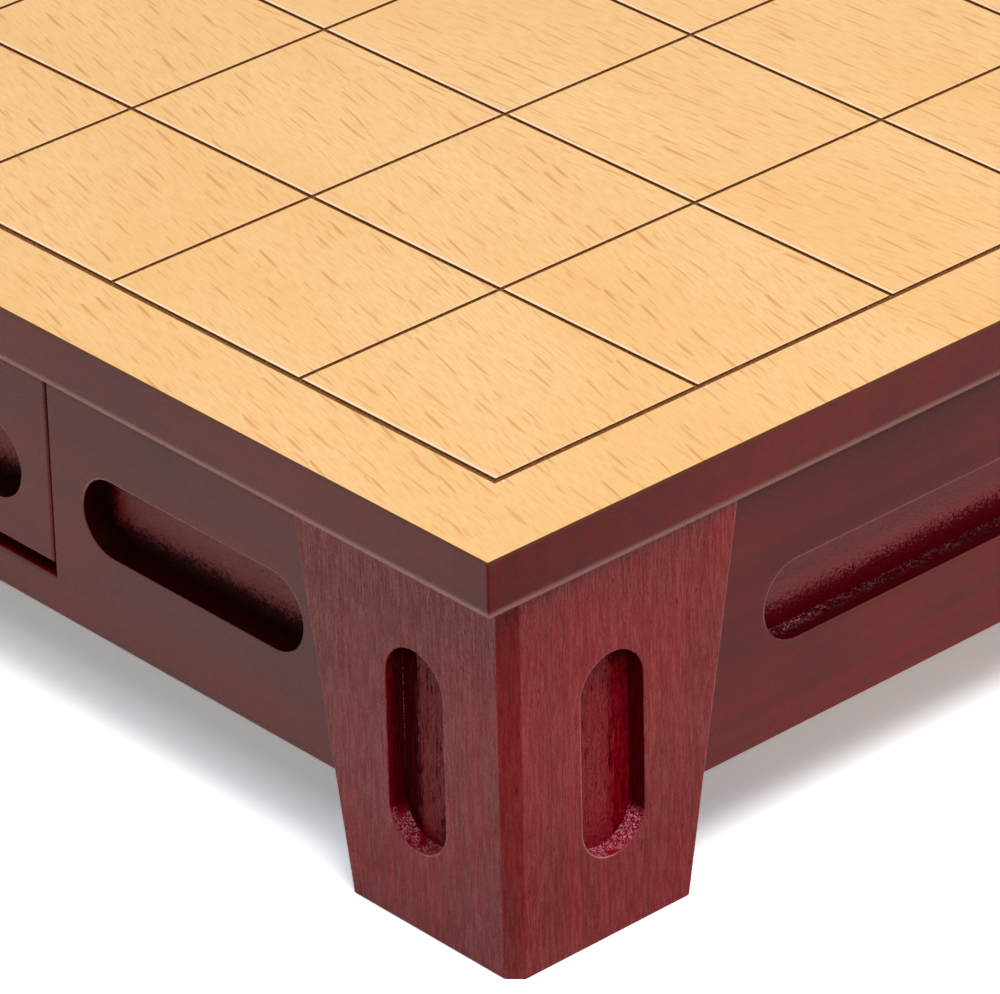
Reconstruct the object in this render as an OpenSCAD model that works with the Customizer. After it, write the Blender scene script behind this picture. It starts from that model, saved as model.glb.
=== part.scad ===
// Shogi table: a low board table on four tapered legs, with a drawer in each long side.
// The origin is at floor level under the middle of the board. X runs across the board
// from the left drawer to the right one, and Y runs from the front player to the rear one.

/* [Playing grid] */
// Number of squares along each side of the board
cells = 9; // [8:1:11]
// Size of a square across the board
cell_w = 36.3; // [35:0.1:42]
// Size of a square along the board, towards the other player
cell_l = 38.7; // [36:0.1:45]
// Plain margin around the grid
grid_margin = 15; // [8:0.5:30]
// Width of the engraved border line
border_line_w = 1.0; // [0.6:0.1:2]
// Width of the engraved lines inside the border
inner_line_w = 0.7; // [0.4:0.1:1.4]
// Depth of the engraved lines and dots
line_depth = 0.3; // [0.1:0.05:0.4]
// Diameter of the four dots on the line crossings
dot_d = 3.0; // [2:0.1:5]
// Squares between each dot and the border
dot_cells = 3; // [1:1:3]

/* [Top board] */
// Thickness of the board under the playing surface
core_t = 8.7; // [7:0.1:16]
// Thickness of the beech playing surface
veneer_t = 0.5; // [0.45:0.05:1.2]
// Rounding of the board's lower edge
top_edge_r = 1.8; // [0.3:0.1:3]
// Rounding of the board's upright corners
top_corner_r = 0.3; // [0.2:0.1:3]

/* [Legs] */
// Height of the legs, from the floor to the underside of the board
leg_h = 56.8; // [52:0.1:90]
// Width of a leg across the board, at its top
leg_top_w = 41.2; // [36:0.1:46]
// Width of a leg along the board, at its top
leg_top_l = 42.0; // [36:0.1:46]
// Width of a leg across the board, at the floor
leg_foot_w = 31.8; // [28:0.1:36]
// Width of a leg along the board, at the floor
leg_foot_l = 31.9; // [28:0.1:36]
// How far the legs stand in from the long edges of the board
leg_inset_x = 4.0; // [1:0.1:10]
// How far the legs stand in from the short edges of the board
leg_inset_y = 1.2; // [1:0.1:10]
// How far the legs stand proud of the aprons
leg_proud = 1.0; // [0:0.1:2]
// Width of the bevel along a leg's outer corner, measured on each face
leg_bevel = 2.2; // [0.5:0.1:4]
// Rounding of a leg's edges beside the aprons
leg_edge_r = 0.4; // [0.3:0.1:2]
// Rounding of the outer edges of a foot
foot_edge_r = 0.3; // [0.2:0.1:2]
// Rounding of the inner edges of a foot
foot_inner_r = 1.0; // [0.2:0.1:2]
// Width of the slot in each outer face of a leg
leg_slot_w = 11.2; // [6:0.1:14]
// Length of the slot in each outer face of a leg
leg_slot_l = 30.8; // [16:0.1:36]
// Height of the middle of the leg slots above the floor
leg_slot_mid = 27.8; // [22:0.1:32]
// Depth of the slots in the legs
leg_slot_depth = 3.0; // [1:0.1:3.5]

/* [Aprons] */
// Height of the aprons
apron_h = 39.8; // [38:0.1:48]
// Thickness of the aprons and of the drawer fronts
apron_t = 12; // [11:0.5:16]
// Rounding of an apron's lower edge
apron_edge_r = 0.3; // [0.2:0.1:2]
// Height of the slots in the aprons and the drawer fronts
slot_h = 12.0; // [6:0.1:13]
// Depth of the slots in the aprons and the drawer fronts
slot_depth = 3.8; // [1:0.1:4.2]
// Bevel around the mouth of every slot
slot_bevel = 0.1; // [0.1:0.05:0.5]
// Plain width beyond each end of the slot in a drawer front
pull_land = 6.2; // [4:0.1:20]
// Plain width between a drawer and the short slots beside it
side_slot_land = 6.9; // [3:0.1:10]
// Plain width between a short slot and the leg beside it
side_slot_end = 3.0; // [1:0.1:10]
// Plain width between the slot in an end apron and the legs
end_slot_land = 8.9; // [4:0.1:20]

/* [Drawers] */
// Width of the opening for a drawer
opening_w = 188.1; // [150:0.1:190]
// Height of the strip of apron under a drawer
sill_h = 5.8; // [5.5:0.1:8]
// Gap between a drawer front and that strip
drawer_lift = 2.2; // [1:0.1:3]
// Running gap beside a drawer and over its guides
drawer_gap = 0.3; // [0.2:0.05:0.6]
// Gap between a drawer front and the board above it
drawer_top_gap = 0.4; // [0.3:0.05:1]
// Softening of the edges of the drawer fronts and their openings
easing_r = 0.4; // [0.2:0.1:0.8]
// Thickness of the sides and the back of a drawer
drawer_side_t = 6; // [5:0.5:8]
// Height of the sides and the back of a drawer
drawer_side_h = 26; // [20:0.5:30]
// Thickness of the bottom of a drawer
drawer_bottom_t = 3; // [2:0.5:4]
// Height of the bottom above the lower edge of the sides
drawer_bottom_up = 2; // [1.5:0.5:4]
// Depth of the grooves that hold the bottom
drawer_groove = 3; // [2:0.5:4]
// Depth of the rebates in the front that hold the sides
drawer_rebate = 6; // [4:0.5:6.5]

/* [Inner fittings] */
// Thickness of the bottom panel
panel_t = 3; // [2:0.5:3.5]
// Width of the rebates that hold the bottom panel
panel_rebate = 7; // [6:0.5:8]
// Gap around the bottom panel
panel_gap = 0.3; // [0.1:0.1:1]
// Thickness of the upright part of a drawer guide
guide_t = 8; // [6:0.5:10]
// Height of a drawer guide
guide_h = 24; // [14:0.5:30]
// Width of the foot of a guide, under a drawer side
guide_foot_w = 10; // [8:0.5:16]
// Thickness of the stop board between the drawers
stop_t = 6; // [4:0.5:12]
// Height of the stop board above the feet of the guides
stop_h = 24; // [12:0.5:28]
// Width of a cleat under the board
cleat_w = 14; // [12:0.5:20]
// Height of a cleat under the board
cleat_h = 12; // [10:0.5:12]
// Gap between a cleat's ends and the legs
cleat_gap = 0.8; // [0.2:0.1:3]
// Diameter of the dowels between aprons and legs
dowel_d = 6; // [4:0.5:6]
// Length of the dowels
dowel_l = 24; // [16:1:28]
// Distance of the dowels from the upper and lower edge of an apron
dowel_edge = 9; // [7:0.5:9]
// Diameter of the screws' shanks
screw_d = 2.5; // [2:0.1:3]
// Diameter of the screws' heads
screw_head_d = 5; // [4:0.1:5.5]
// Length of the screws through the cleats
cleat_screw_l = 16; // [14:0.5:17]
// Length of the screws through the bottom panel
panel_screw_l = 12; // [8:0.5:14]
// Distance of the outer screws from the ends of the piece that they hold
screw_inset = 24; // [15:1:40]
// Gap around screws and dowels in their holes
hole_gap = 0.05; // [0.03:0.01:0.1]

/* [Hidden] */
$fn = 64;

// Cuts run this far past the surfaces that they open
past = 1;

// Stained board, stained leg wood, pale inner wood, beech and screw steel
board_colour = "#63403b";
leg_colour = "#7a4343";
inner_colour = "#d8bd92";
beech_colour = "#f2c78b";
steel_colour = "#b9b7b0";

// The board
grid_w = cells * cell_w;
grid_l = cells * cell_l;
top_w = grid_w + 2 * grid_margin;
top_l = grid_l + 2 * grid_margin;
veneer_z = leg_h + core_t;

// Outer and inner faces of the legs and the aprons
leg_x = top_w / 2 - leg_inset_x;
leg_y = top_l / 2 - leg_inset_y;
side_face = leg_x - leg_proud;
end_face = leg_y - leg_proud;
side_back = side_face - apron_t;
end_back = end_face - apron_t;
apron_z = leg_h - apron_h;
slot_z = apron_z + apron_h / 2;

// How far the inner faces of the legs are from the middle of the table, at the height z
function leg_inner_x(z) = leg_x - leg_foot_w - (leg_top_w - leg_foot_w) * z / leg_h;
function leg_inner_y(z) = leg_y - leg_foot_l - (leg_top_l - leg_foot_l) * z / leg_h;
taper_x = atan((leg_top_w - leg_foot_w) / leg_h);
taper_y = atan((leg_top_l - leg_foot_l) / leg_h);
dowel_heights = [apron_z + dowel_edge, leg_h - dowel_edge];

// A drawer and its opening
opening_half = opening_w / 2;
sill_z = apron_z + sill_h;
drawer_half = opening_half - drawer_gap;
drawer_z = sill_z + drawer_lift;
drawer_top = leg_h - drawer_top_gap;
side_top = drawer_z + drawer_side_h;
tray_half = drawer_half - drawer_side_t;
tray_z = drawer_z + drawer_bottom_up;
tray_floor = tray_z + drawer_bottom_t;
drawer_rear = stop_t / 2 + drawer_gap;

// What the drawers run on
panel_top = apron_z + panel_t;
guide_foot_z = drawer_z - drawer_gap;
guide_back = opening_half + guide_t;
foot_half = opening_half - guide_foot_w;
cleat_end = leg_inner_x(leg_h) - cleat_gap;

// Lengths and places of the slots
pull_l = 2 * (drawer_half - pull_land);
end_slot_l = 2 * (leg_inner_x(slot_z) - end_slot_land);
side_slot_from = opening_half + side_slot_land;
side_slot_to = leg_inner_y(slot_z) - side_slot_end;

// The cone of a screw's head is as deep as the head overhangs the shank
screw_head_h = (screw_head_d - screw_d) / 2;
screw_tip_h = screw_d;
screw_point_d = 0.6;

// Draws its children as they are, and again mirrored to the other side of the plane
module both(plane) {
    children();
    mirror(plane) children();
}

// Rounds an edge that runs along +Z from z = 0, with the piece on its +X +Y side.
// The face that looks to -X leans outwards by the angle lean, away from the edge.
module edge_cutter(r, length, lean = 0, start = past) {
    reach = r * tan((90 - lean) / 2);
    lean_x = -reach * sin(lean);
    translate([0, 0, -start])
        linear_extrude(length + start + past)
            difference() {
                polygon([
                    [reach, 0], [reach, r], [lean_x, reach * cos(lean)],
                    [lean_x - past, reach * cos(lean)], [lean_x - past, -past], [reach, -past]
                ]);
                translate([reach, r]) circle(r);
            }
}

// Turn an edge cutter to run along -Y, or along +X, with the piece above and behind it
module along_y() {
    rotate([90, 0, 0]) children();
}
module along_x() {
    rotate([90, 0, 90]) children();
}

// Blind slot with round ends, cut down from z = 0 along X, its mouth bevelled
module slot_cutter(length, width, depth) {
    r = width / 2;
    run = length / 2 - r;
    half_section = [
        [0, -depth], [r, -depth], [r, -slot_bevel],
        [r + slot_bevel, 0], [r + slot_bevel, past], [0, past]
    ];
    both([1, 0, 0])
        translate([run, 0, 0]) rotate_extrude() polygon(half_section);
    along_x()
        linear_extrude(2 * run, center = true)
            both([1, 0]) polygon(half_section);
}

// The slot in a face that looks to -X: it lies along Y, or stands upright
module slot_in_side(length, width, depth, upright = false) {
    rotate([0, -90, 0])
        rotate([0, 0, upright ? 0 : 90])
            slot_cutter(length, width, depth);
}

// The slot in a face that looks to -Y: it lies along X, or stands upright
module slot_in_end(length, width, depth, upright = false) {
    rotate([90, 0, 0])
        rotate([0, 0, upright ? 90 : 0])
            slot_cutter(length, width, depth);
}

// Countersunk screw that points up, its head's face at z = 0; gap grows it into its hole
module screw(length, gap = 0) {
    d = screw_d + 2 * gap;
    head_d = screw_head_d + 2 * gap;
    neck = length - screw_tip_h + gap;
    cylinder(d1 = head_d, d2 = d, h = screw_head_h);
    cylinder(d = d, h = neck);
    translate([0, 0, neck]) cylinder(d1 = d, d2 = screw_point_d, h = screw_tip_h);
    if (gap > 0)
        translate([0, 0, -past]) cylinder(d = head_d, h = past);
}

// Places its children at each screw that holds the bottom panel
module at_panel_screws() {
    end_at = [leg_inner_x(panel_top) - screw_inset, end_back + panel_rebate / 2];
    guide_at = [side_back - screw_inset, opening_half + guide_t / 2];
    side_at = [side_back + panel_rebate / 2, (guide_back + leg_inner_y(panel_top)) / 2];
    for (sy = [-1, 1]) {
        for (sx = [-1, 0, 1], at = [end_at, guide_at])
            translate([sx * at[0], sy * at[1], apron_z]) children();
        for (sx = [-1, 1])
            translate([sx * side_at[0], sy * side_at[1], apron_z]) children();
    }
}

// Places its children at each screw that holds a cleat under the board
module at_cleat_screws() {
    for (sx = [-1, 0, 1], sy = [-1, 1])
        translate([
            sx * (cleat_end - screw_inset),
            sy * (end_back - cleat_w / 2),
            leg_h - cleat_h
        ]) children();
}

// The two dowels between a side apron and the leg with the signs sx and sy
module side_dowel_pair(sx, sy, gap = 0) {
    for (z = dowel_heights)
        translate([sx * (side_face - apron_t / 2), sy * leg_inner_y(z), z])
            rotate([90, 0, 0])
                cylinder(d = dowel_d + 2 * gap, h = dowel_l + 2 * gap, center = true);
}

// The two dowels between an end apron and the leg with the signs sx and sy
module end_dowel_pair(sx, sy, gap = 0) {
    for (z = dowel_heights)
        translate([sx * leg_inner_x(z), sy * (end_face - apron_t / 2), z])
            rotate([0, 90, 0])
                cylinder(d = dowel_d + 2 * gap, h = dowel_l + 2 * gap, center = true);
}

// A plate with the board's outline
module top_plate(t) {
    difference() {
        translate([-top_w / 2, -top_l / 2, 0]) cube([top_w, top_l, t]);
        both([1, 0, 0]) both([0, 1, 0])
            translate([-top_w / 2, -top_l / 2, 0]) edge_cutter(top_corner_r, t);
    }
}

module top_core() {
    color(board_colour)
        difference() {
            translate([0, 0, leg_h]) top_plate(core_t);
            both([1, 0, 0])
                translate([-top_w / 2, top_l / 2, leg_h])
                    along_y() edge_cutter(top_edge_r, top_l);
            both([0, 1, 0])
                translate([-top_w / 2, -top_l / 2, leg_h])
                    along_x() edge_cutter(top_edge_r, top_w);
            at_cleat_screws() screw(cleat_screw_l, hole_gap);
        }
}

// Grooves along X, spread over the grid along Y, with the wider border lines outside
module grid_lines(pitch, length) {
    line_l = length + border_line_w;
    for (i = [0 : cells]) {
        w = (i == 0 || i == cells) ? border_line_w : inner_line_w;
        translate([-line_l / 2, (i - cells / 2) * pitch - w / 2, 0])
            cube([line_l, w, line_depth + past]);
    }
}

module top_veneer() {
    color(beech_colour)
        difference() {
            translate([0, 0, veneer_z]) top_plate(veneer_t);
            translate([0, 0, veneer_z + veneer_t - line_depth]) {
                grid_lines(cell_l, grid_w);
                rotate([0, 0, 90]) grid_lines(cell_w, grid_l);
                both([1, 0, 0]) both([0, 1, 0])
                    translate([
                        (cells / 2 - dot_cells) * cell_w,
                        (cells / 2 - dot_cells) * cell_l,
                        0
                    ]) cylinder(d = dot_d, h = line_depth + past);
            }
        }
}

// The leg at the corner -X -Y: upright outer faces, and inner faces that taper to the foot
module leg_block() {
    intersection() {
        along_y()
            linear_extrude(2 * leg_y, center = true)
                polygon([
                    [-leg_x, 0], [-leg_inner_x(0), 0],
                    [-leg_inner_x(leg_h), leg_h], [-leg_x, leg_h]
                ]);
        along_x()
            linear_extrude(2 * leg_x, center = true)
                polygon([
                    [-leg_y, 0], [-leg_inner_y(0), 0],
                    [-leg_inner_y(leg_h), leg_h], [-leg_y, leg_h]
                ]);
    }
}

// Bevels that leg's outer corner
module leg_corner() {
    translate([-leg_x, -leg_y, -past])
        linear_extrude(leg_h + 2 * past)
            polygon([[leg_bevel + past, -past], [-past, leg_bevel + past], [-past, -past]]);
}

// Rounds that leg's edges beside the aprons and around its foot
module leg_edges() {
    translate([-leg_x, -leg_inner_y(0), 0]) {
        rotate([-taper_y, 0, 0])
            mirror([0, 1, 0]) edge_cutter(leg_edge_r, leg_h / cos(taper_y));
        along_y() edge_cutter(foot_edge_r, leg_foot_l);
    }
    translate([-leg_inner_x(0), -leg_y, 0]) {
        rotate([0, taper_x, 0])
            mirror([1, 0, 0]) edge_cutter(leg_edge_r, leg_h / cos(taper_x));
        mirror([1, 0, 0]) along_x() edge_cutter(foot_edge_r, leg_foot_w);
    }
    translate([-leg_inner_x(0), -leg_inner_y(0), 0]) {
        mirror([1, 0, 0]) along_y() edge_cutter(foot_inner_r, leg_foot_l, taper_x);
        mirror([1, 0, 0]) mirror([0, 1, 0]) along_x() edge_cutter(foot_inner_r, leg_foot_w, taper_y);
    }
}

module leg(sx, sy) {
    slot_from_corner = [
        (leg_x - leg_inner_x(leg_slot_mid)) / 2,
        (leg_y - leg_inner_y(leg_slot_mid)) / 2
    ];
    color(leg_colour)
        difference() {
            mirror([max(sx, 0), 0, 0]) mirror([0, max(sy, 0), 0])
                difference() {
                    leg_block();
                    leg_corner();
                    leg_edges();
                    translate([-leg_x, -leg_y + slot_from_corner[1], leg_slot_mid])
                        slot_in_side(leg_slot_l, leg_slot_w, leg_slot_depth, upright = true);
                    translate([-leg_x + slot_from_corner[0], -leg_y, leg_slot_mid])
                        slot_in_end(leg_slot_l, leg_slot_w, leg_slot_depth, upright = true);
                }
            side_dowel_pair(sx, sy, hole_gap);
            end_dowel_pair(sx, sy, hole_gap);
        }
}

// Outline of a side apron: its ends follow the legs, and the drawer's opening is cut out
module side_apron_outline() {
    difference() {
        polygon([
            [-leg_inner_y(apron_z), apron_z], [leg_inner_y(apron_z), apron_z],
            [leg_inner_y(leg_h), leg_h], [-leg_inner_y(leg_h), leg_h]
        ]);
        translate([-opening_half, sill_z]) square([opening_w, apron_h]);
    }
}

// Softens the outer edges of the opening in the left side apron
module opening_easing() {
    both([0, 1, 0])
        translate([-side_face, opening_half, sill_z])
            edge_cutter(easing_r, apron_h - sill_h, start = 0);
    translate([-side_face, -opening_half, sill_z])
        mirror([0, 0, 1]) mirror([0, 1, 0])
            along_y() edge_cutter(easing_r, opening_w - past, start = 0);
}

module side_apron(sx) {
    color(board_colour)
        difference() {
            mirror([max(sx, 0), 0, 0])
                difference() {
                    translate([-side_face, 0, 0])
                        along_x() linear_extrude(apron_t) side_apron_outline();
                    translate([-side_back - panel_rebate, -leg_y, apron_z - past])
                        cube([panel_rebate + past, 2 * leg_y, panel_t + past]);
                    translate([-side_face, leg_y, apron_z])
                        along_y() edge_cutter(apron_edge_r, 2 * leg_y);
                    opening_easing();
                    both([0, 1, 0])
                        translate([-side_face, (side_slot_from + side_slot_to) / 2, slot_z])
                            slot_in_side(side_slot_to - side_slot_from, slot_h, slot_depth);
                }
            side_dowel_pair(sx, -1, hole_gap);
            side_dowel_pair(sx, 1, hole_gap);
            at_panel_screws() screw(panel_screw_l, hole_gap);
        }
}

module end_apron(sy) {
    color(board_colour)
        difference() {
            mirror([0, max(sy, 0), 0])
                difference() {
                    translate([0, -end_back, 0])
                        along_y() linear_extrude(apron_t)
                            polygon([
                                [-leg_inner_x(apron_z), apron_z], [leg_inner_x(apron_z), apron_z],
                                [leg_inner_x(leg_h), leg_h], [-leg_inner_x(leg_h), leg_h]
                            ]);
                    translate([-leg_x, -end_back - panel_rebate, apron_z - past])
                        cube([2 * leg_x, panel_rebate + past, panel_t + past]);
                    translate([-leg_x, -end_face, apron_z])
                        along_x() edge_cutter(apron_edge_r, 2 * leg_x);
                    translate([0, -end_face, slot_z])
                        slot_in_end(end_slot_l, slot_h, slot_depth);
                }
            end_dowel_pair(-1, sy, hole_gap);
            end_dowel_pair(1, sy, hole_gap);
            at_panel_screws() screw(panel_screw_l, hole_gap);
        }
}

// Thin panel in the rebates of the aprons, its corners cut away around the legs
module bottom_panel() {
    half = [side_back + panel_rebate - panel_gap, end_back + panel_rebate - panel_gap];
    notch = [leg_inner_x(panel_top) - panel_gap, leg_inner_y(panel_top) - panel_gap];
    color(inner_colour)
        difference() {
            translate([0, 0, apron_z])
                linear_extrude(panel_t)
                    union() {
                        square([2 * half[0], 2 * notch[1]], center = true);
                        square([2 * notch[0], 2 * half[1]], center = true);
                    }
            at_panel_screws() screw(panel_screw_l, hole_gap);
        }
}

// Runs between the side aprons: the drawers stand on its foot and are led by its upright
module drawer_guide(sy) {
    color(inner_colour)
        difference() {
            mirror([0, max(sy, 0), 0])
                along_x()
                    linear_extrude(2 * side_back, center = true)
                        union() {
                            translate([-guide_back, panel_top]) square([guide_t, guide_h]);
                            translate([-guide_back, panel_top])
                                square([guide_t + guide_foot_w, guide_foot_z - panel_top]);
                        }
            at_panel_screws() screw(panel_screw_l, hole_gap);
        }
}

// Stands between the guides, notched over their feet, and keeps the drawers apart
module drawer_stop() {
    color(inner_colour)
        translate([-stop_t / 2, 0, 0])
            along_x() linear_extrude(stop_t)
                union() {
                    translate([-opening_half, guide_foot_z]) square([opening_w, stop_h]);
                    translate([-foot_half, panel_top]) square([2 * foot_half, stop_h]);
                }
}

module top_cleat(sy) {
    color(inner_colour)
        difference() {
            mirror([0, max(sy, 0), 0])
                translate([-cleat_end, -end_back, leg_h - cleat_h])
                    cube([2 * cleat_end, cleat_w, cleat_h]);
            at_cleat_screws() screw(cleat_screw_l, hole_gap);
        }
}

module side_dowels() {
    color(inner_colour)
        for (sx = [-1, 1], sy = [-1, 1]) side_dowel_pair(sx, sy);
}

module end_dowels() {
    color(inner_colour)
        for (sx = [-1, 1], sy = [-1, 1]) end_dowel_pair(sx, sy);
}

module cleat_screws() {
    color(steel_colour) at_cleat_screws() screw(cleat_screw_l);
}

module panel_screws() {
    color(steel_colour) at_panel_screws() screw(panel_screw_l);
}

// The groove for a drawer's bottom, through the front and both sides
module bottom_groove() {
    translate([-side_back - drawer_groove, -tray_half - drawer_groove, tray_z])
        cube([side_back + drawer_groove, 2 * (tray_half + drawer_groove), drawer_bottom_t]);
}

// Flush with the apron, with a long slot as its pull; the rebates behind it take the sides
module drawer_front() {
    front_h = drawer_top - drawer_z;
    color(board_colour)
        difference() {
            translate([-side_face, -drawer_half, drawer_z])
                cube([apron_t, 2 * drawer_half, front_h]);
            translate([-side_face, 0, slot_z]) slot_in_side(pull_l, slot_h, slot_depth);
            both([0, 1, 0]) {
                translate([-side_face, -drawer_half, drawer_z]) edge_cutter(easing_r, front_h);
                translate([-side_back - drawer_rebate, tray_half, drawer_z - past])
                    cube([drawer_rebate + past, drawer_side_t + past, drawer_side_h + past]);
            }
            translate([-side_face, drawer_half, drawer_z])
                along_y() edge_cutter(easing_r, 2 * drawer_half);
            translate([-side_face, drawer_half, drawer_top])
                mirror([0, 0, 1]) along_y() edge_cutter(easing_r, 2 * drawer_half);
            bottom_groove();
        }
}

// The side towards the front player; it runs from the drawer front to the stop
module drawer_side() {
    color(inner_colour)
        difference() {
            translate([-side_back - drawer_rebate, -drawer_half, drawer_z])
                cube([side_back + drawer_rebate - drawer_rear, drawer_side_t, drawer_side_h]);
            bottom_groove();
        }
}

module drawer_back() {
    color(inner_colour)
        translate([-drawer_rear - drawer_side_t, -tray_half, tray_floor])
            cube([drawer_side_t, 2 * tray_half, side_top - tray_floor]);
}

module drawer_bottom() {
    color(inner_colour)
        translate([-side_back - drawer_groove, -tray_half - drawer_groove, tray_z])
            cube([
                side_back + drawer_groove - drawer_rear,
                2 * (tray_half + drawer_groove),
                drawer_bottom_t
            ]);
}

top_core();
top_veneer();
leg(-1, -1);  // leg_front_left
leg(1, -1);  // leg_front_right
leg(-1, 1);  // leg_rear_left
leg(1, 1);  // leg_rear_right
side_apron(-1);  // side_apron_left
side_apron(1);  // side_apron_right
end_apron(-1);  // end_apron_front
end_apron(1);  // end_apron_rear
bottom_panel();
drawer_guide(-1);  // drawer_guide_front
drawer_guide(1);  // drawer_guide_rear
drawer_stop();
top_cleat(-1);  // top_cleat_front
top_cleat(1);  // top_cleat_rear
side_dowels();
end_dowels();
cleat_screws();
panel_screws();
drawer_front();  // left_drawer_front
drawer_side();  // left_drawer_side_front
mirror([0, 1, 0]) drawer_side();  // left_drawer_side_rear
drawer_back();  // left_drawer_back
drawer_bottom();  // left_drawer_bottom
mirror([1, 0, 0]) drawer_front();  // right_drawer_front
mirror([1, 0, 0]) drawer_side();  // right_drawer_side_front
rotate([0, 0, 180]) drawer_side();  // right_drawer_side_rear
mirror([1, 0, 0]) drawer_back();  // right_drawer_back
mirror([1, 0, 0]) drawer_bottom();  // right_drawer_bottom
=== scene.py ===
import math
from types import SimpleNamespace

import bpy
from mathutils import Matrix, Vector


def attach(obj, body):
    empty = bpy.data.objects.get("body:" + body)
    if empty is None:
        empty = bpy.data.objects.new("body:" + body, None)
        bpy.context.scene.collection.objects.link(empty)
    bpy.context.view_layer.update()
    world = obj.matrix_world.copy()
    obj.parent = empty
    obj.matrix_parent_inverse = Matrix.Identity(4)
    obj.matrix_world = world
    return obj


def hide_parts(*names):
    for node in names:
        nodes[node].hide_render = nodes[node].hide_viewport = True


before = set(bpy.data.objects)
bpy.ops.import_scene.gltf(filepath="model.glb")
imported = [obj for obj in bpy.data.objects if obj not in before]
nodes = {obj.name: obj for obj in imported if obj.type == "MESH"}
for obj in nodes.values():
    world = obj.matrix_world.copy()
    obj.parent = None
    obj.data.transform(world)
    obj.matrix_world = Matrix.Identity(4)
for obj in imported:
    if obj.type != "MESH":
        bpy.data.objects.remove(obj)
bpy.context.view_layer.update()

# Camera: a long lens on the table's nearest corner, from a metre away and half a metre up.
# The picture is 1000 by 994, and its longer side is the one that the lens is measured on.
VIEW_TURN = math.radians(-41.795)
VIEW_HEIGHT = math.radians(29.326)
VIEW_ROLL = math.radians(-1.381)
VIEW_FROM = (-0.7233, -0.8014, 0.53598)
LENS_MM = 269.23
FILM_MM = 36.0
NEAREST = 0.01
FARTHEST = 50.0

back = Vector((
    math.sin(VIEW_TURN) * math.cos(VIEW_HEIGHT),
    -math.cos(VIEW_TURN) * math.cos(VIEW_HEIGHT),
    math.sin(VIEW_HEIGHT),
))
level_right = Vector((math.cos(VIEW_TURN), math.sin(VIEW_TURN), 0.0))
level_up = back.cross(level_right)
right = level_right * math.cos(VIEW_ROLL) + level_up * math.sin(VIEW_ROLL)
up = level_up * math.cos(VIEW_ROLL) - level_right * math.sin(VIEW_ROLL)

lens = bpy.data.cameras.new("camera")
lens.sensor_fit = "HORIZONTAL"
lens.sensor_width = FILM_MM
lens.lens = LENS_MM
lens.clip_start = NEAREST
lens.clip_end = FARTHEST
camera = bpy.data.objects.new("camera", lens)
bpy.context.scene.collection.objects.link(camera)
camera.matrix_world = Matrix.Translation(VIEW_FROM) @ Matrix((right, up, back)).transposed().to_4x4()
bpy.context.scene.camera = camera
bpy.context.scene.view_settings.view_transform = "Standard"


# Floor: a wide sheet of matt white paper. It shows as pure white away from the table and keeps
# the table's soft grey shadow, and what is glossy on the table mirrors it.
class Value:
    """A number on its way through a material. Arithmetic on it adds the Math nodes."""

    def __init__(self, finish, socket):
        self.finish = finish
        self.socket = socket

    def math(self, operation, *others):
        return self.finish.node("ShaderNodeMath", {"operation": operation}, [self, *others])

    def __add__(self, other):
        return self.math("ADD", other)

    __radd__ = __add__

    def __mul__(self, other):
        return self.math("MULTIPLY", other)

    __rmul__ = __mul__

    def __sub__(self, other):
        return self.math("SUBTRACT", other)

    def __rsub__(self, other):
        return (self * -1) + other

    def __truediv__(self, other):
        return self.math("DIVIDE", other)

    def __pow__(self, other):
        return self.math("POWER", other)

    def __abs__(self):
        return self.math("ABSOLUTE")

    def __gt__(self, other):
        return self.math("GREATER_THAN", other)

    def __lt__(self, other):
        return self.math("LESS_THAN", other)

    def most(self, other):
        return self.math("MAXIMUM", other)

    def fade(self, start, end):
        """0 at start and 1 at end, with soft ends. Start may be the larger of the two."""
        low, high = min(start, end), max(start, end)
        share = self.finish.node(
            "ShaderNodeMapRange", {"interpolation_type": "SMOOTHSTEP"},
            {"Value": self, "From Min": low, "From Max": high})
        return share if start < end else 1 - share

    def beside(self, output):
        """Another output of the node that this value comes from."""
        return Value(self.finish, self.socket.node.outputs[output])


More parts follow.
